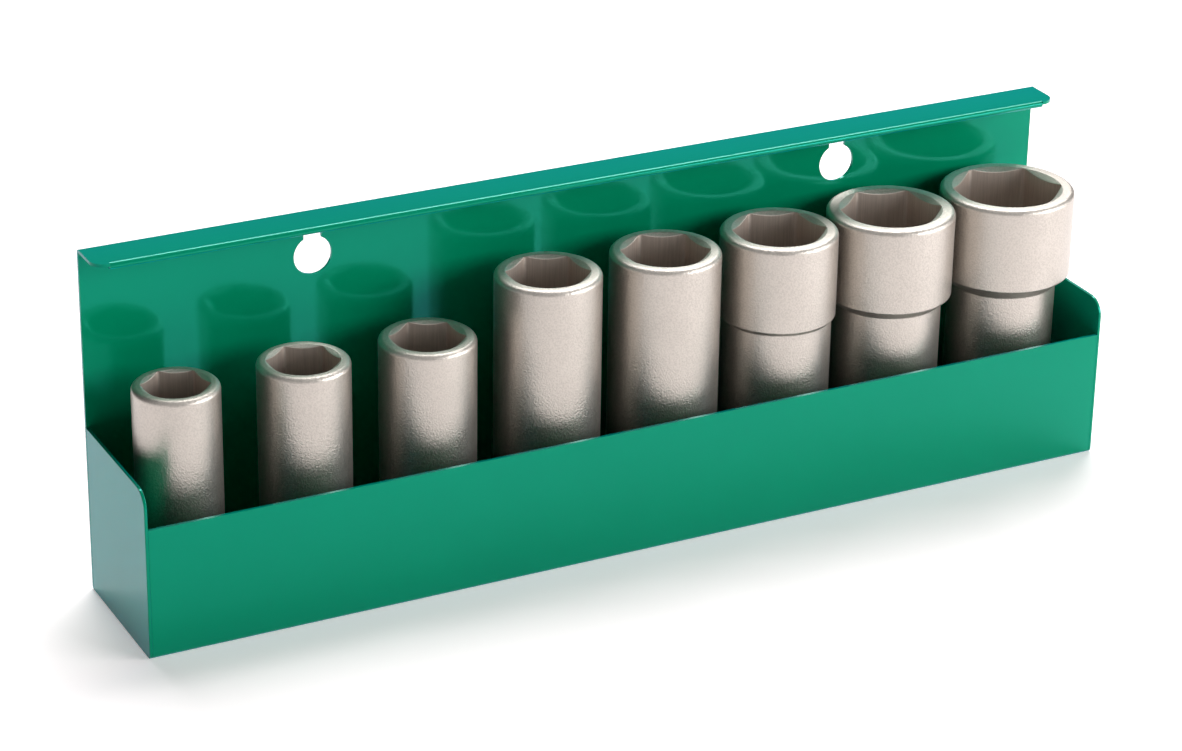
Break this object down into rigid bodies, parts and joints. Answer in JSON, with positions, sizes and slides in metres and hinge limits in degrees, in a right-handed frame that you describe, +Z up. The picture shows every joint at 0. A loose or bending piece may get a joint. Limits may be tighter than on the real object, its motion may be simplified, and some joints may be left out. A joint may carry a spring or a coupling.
{
  "type": "socket organizer rack",
  "caption": "Folded sheet-steel rack with a hanging back panel and keyholes, holding a row of upright deep hexagon sockets that lift off locating posts.",
  "frame": {"origin": "middle of the footprint, on the underside", "axes": "+X along the rack from the smallest socket to the largest, +Y towards the wall, +Z up"},
  "size_m": [0.4, 0.06, 0.136],
  "materials": {
    "enamel": "glossy green enamel",
    "satin_chrome": "satin chrome",
    "zinc": "zinc plated"
  },
  "bodies": {
    "rack": {"front_panel": "enamel", "floor_panel": "enamel", "back_panel": "enamel", "top_flange": "enamel", "end_plate_left": "enamel", "end_plate_right": "enamel", "post_rivets": "zinc", "socket_post_1": "zinc", "socket_post_2": "zinc", "socket_post_3": "zinc", "socket_post_4": "zinc", "socket_post_5": "zinc", "socket_post_6": "zinc", "socket_post_7": "zinc", "socket_post_8": "zinc"},
    "socket_1": {"deep_socket_1": "satin_chrome"},
    "socket_2": {"deep_socket_2": "satin_chrome"},
    "socket_3": {"deep_socket_3": "satin_chrome"},
    "socket_4": {"deep_socket_4": "satin_chrome"},
    "socket_5": {"deep_socket_5": "satin_chrome"},
    "socket_6": {"deep_socket_6": "satin_chrome"},
    "socket_7": {"deep_socket_7": "satin_chrome"},
    "socket_8": {"deep_socket_8": "satin_chrome"}
  },
  "joints": [
    {"name": "socket_1_lift", "type": "slide", "parent": "rack", "child": "socket_1", "axis": [0, 0, 1], "range_m": [0, 0.022]},
    {"name": "socket_2_lift", "type": "slide", "parent": "rack", "child": "socket_2", "axis": [0, 0, 1], "range_m": [0, 0.022]},
    {"name": "socket_3_lift", "type": "slide", "parent": "rack", "child": "socket_3", "axis": [0, 0, 1], "range_m": [0, 0.022]},
    {"name": "socket_4_lift", "type": "slide", "parent": "rack", "child": "socket_4", "axis": [0, 0, 1], "range_m": [0, 0.022]},
    {"name": "socket_5_lift", "type": "slide", "parent": "rack", "child": "socket_5", "axis": [0, 0, 1], "range_m": [0, 0.022]},
    {"name": "socket_6_lift", "type": "slide", "parent": "rack", "child": "socket_6", "axis": [0, 0, 1], "range_m": [0, 0.022]},
    {"name": "socket_7_lift", "type": "slide", "parent": "rack", "child": "socket_7", "axis": [0, 0, 1], "range_m": [0, 0.022]},
    {"name": "socket_8_lift", "type": "slide", "parent": "rack", "child": "socket_8", "axis": [0, 0, 1], "range_m": [0, 0.022]}
  ]
}
